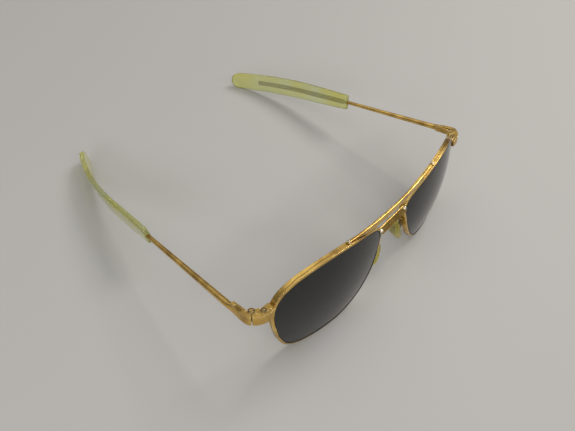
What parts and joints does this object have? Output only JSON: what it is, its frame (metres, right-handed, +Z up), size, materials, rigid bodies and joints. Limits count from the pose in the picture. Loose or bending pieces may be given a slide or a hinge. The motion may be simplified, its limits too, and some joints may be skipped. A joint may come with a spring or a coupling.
{
  "type": "sunglasses",
  "caption": "Metal-rimmed sunglasses with a brow bar and a lower bridge, folding wire temples, clear plastic tips and rocking nose pads.",
  "frame": {"origin": "bottom centre of the whole object's box, on the surface it stands on", "axes": "+Z up, lenses face -Y, temples run to +Y, +X is the wearer's left"},
  "size_m": [0.1462, 0.151, 0.0422],
  "materials": {
    "gold_metal": "polished, worn",
    "screw_metal": "satin",
    "grey_lens": "polished, tinted neutral grey",
    "tip_plastic": "clear, yellowed with age",
    "pad_plastic": "clear, yellowed with age"
  },
  "bodies": {
    "front": {"brow_bar": "gold_metal", "bridge": "gold_metal", "left_rim": "gold_metal", "left_lens": "grey_lens", "left_rim_lock_upper": "gold_metal", "left_rim_lock_lower": "gold_metal", "left_rim_lock_screw": "screw_metal", "left_endpiece": "gold_metal", "left_front_hinge_knuckles": "gold_metal", "left_hinge_screw": "screw_metal", "left_pad_arm": "gold_metal", "left_pad_box": "gold_metal", "left_pad_screw": "screw_metal", "right_rim": "gold_metal", "right_lens": "grey_lens", "right_rim_lock_upper": "gold_metal", "right_rim_lock_lower": "gold_metal", "right_rim_lock_screw": "screw_metal", "right_endpiece": "gold_metal", "right_front_hinge_knuckles": "gold_metal", "right_hinge_screw": "screw_metal", "right_pad_arm": "gold_metal", "right_pad_box": "gold_metal", "right_pad_screw": "screw_metal"},
    "left_temple": {"left_temple_hinge_leaf": "gold_metal", "left_temple_wire": "gold_metal", "left_temple_tip": "tip_plastic"},
    "left_pad": {"left_pad_insert": "screw_metal", "left_nose_pad": "pad_plastic"},
    "right_temple": {"right_temple_hinge_leaf": "gold_metal", "right_temple_wire": "gold_metal", "right_temple_tip": "tip_plastic"},
    "right_pad": {"right_pad_insert": "screw_metal", "right_nose_pad": "pad_plastic"}
  },
  "joints": [
    {"name": "left_temple_fold", "type": "hinge", "parent": "front", "child": "left_temple", "pos_m": [0.06969, -0.06031, 0.03082], "axis": [-0.1392, 0.1927, 0.9713], "range_deg": [0, 83]},
    {"name": "right_temple_fold", "type": "hinge", "parent": "front", "child": "right_temple", "pos_m": [-0.06969, -0.06031, 0.03082], "axis": [-0.1392, -0.1927, -0.9713], "range_deg": [0, 75]},
    {"name": "left_pad_rock", "type": "hinge", "parent": "front", "child": "left_pad", "pos_m": [0.01093, -0.07057, 0.01841], "axis": [0.2079, 0.9721, -0.109], "range_deg": [-12, 12]},
    {"name": "right_pad_rock", "type": "hinge", "parent": "front", "child": "right_pad", "pos_m": [-0.01093, -0.07057, 0.01841], "axis": [-0.2079, 0.9721, -0.109], "range_deg": [-12, 12]}
  ]
}
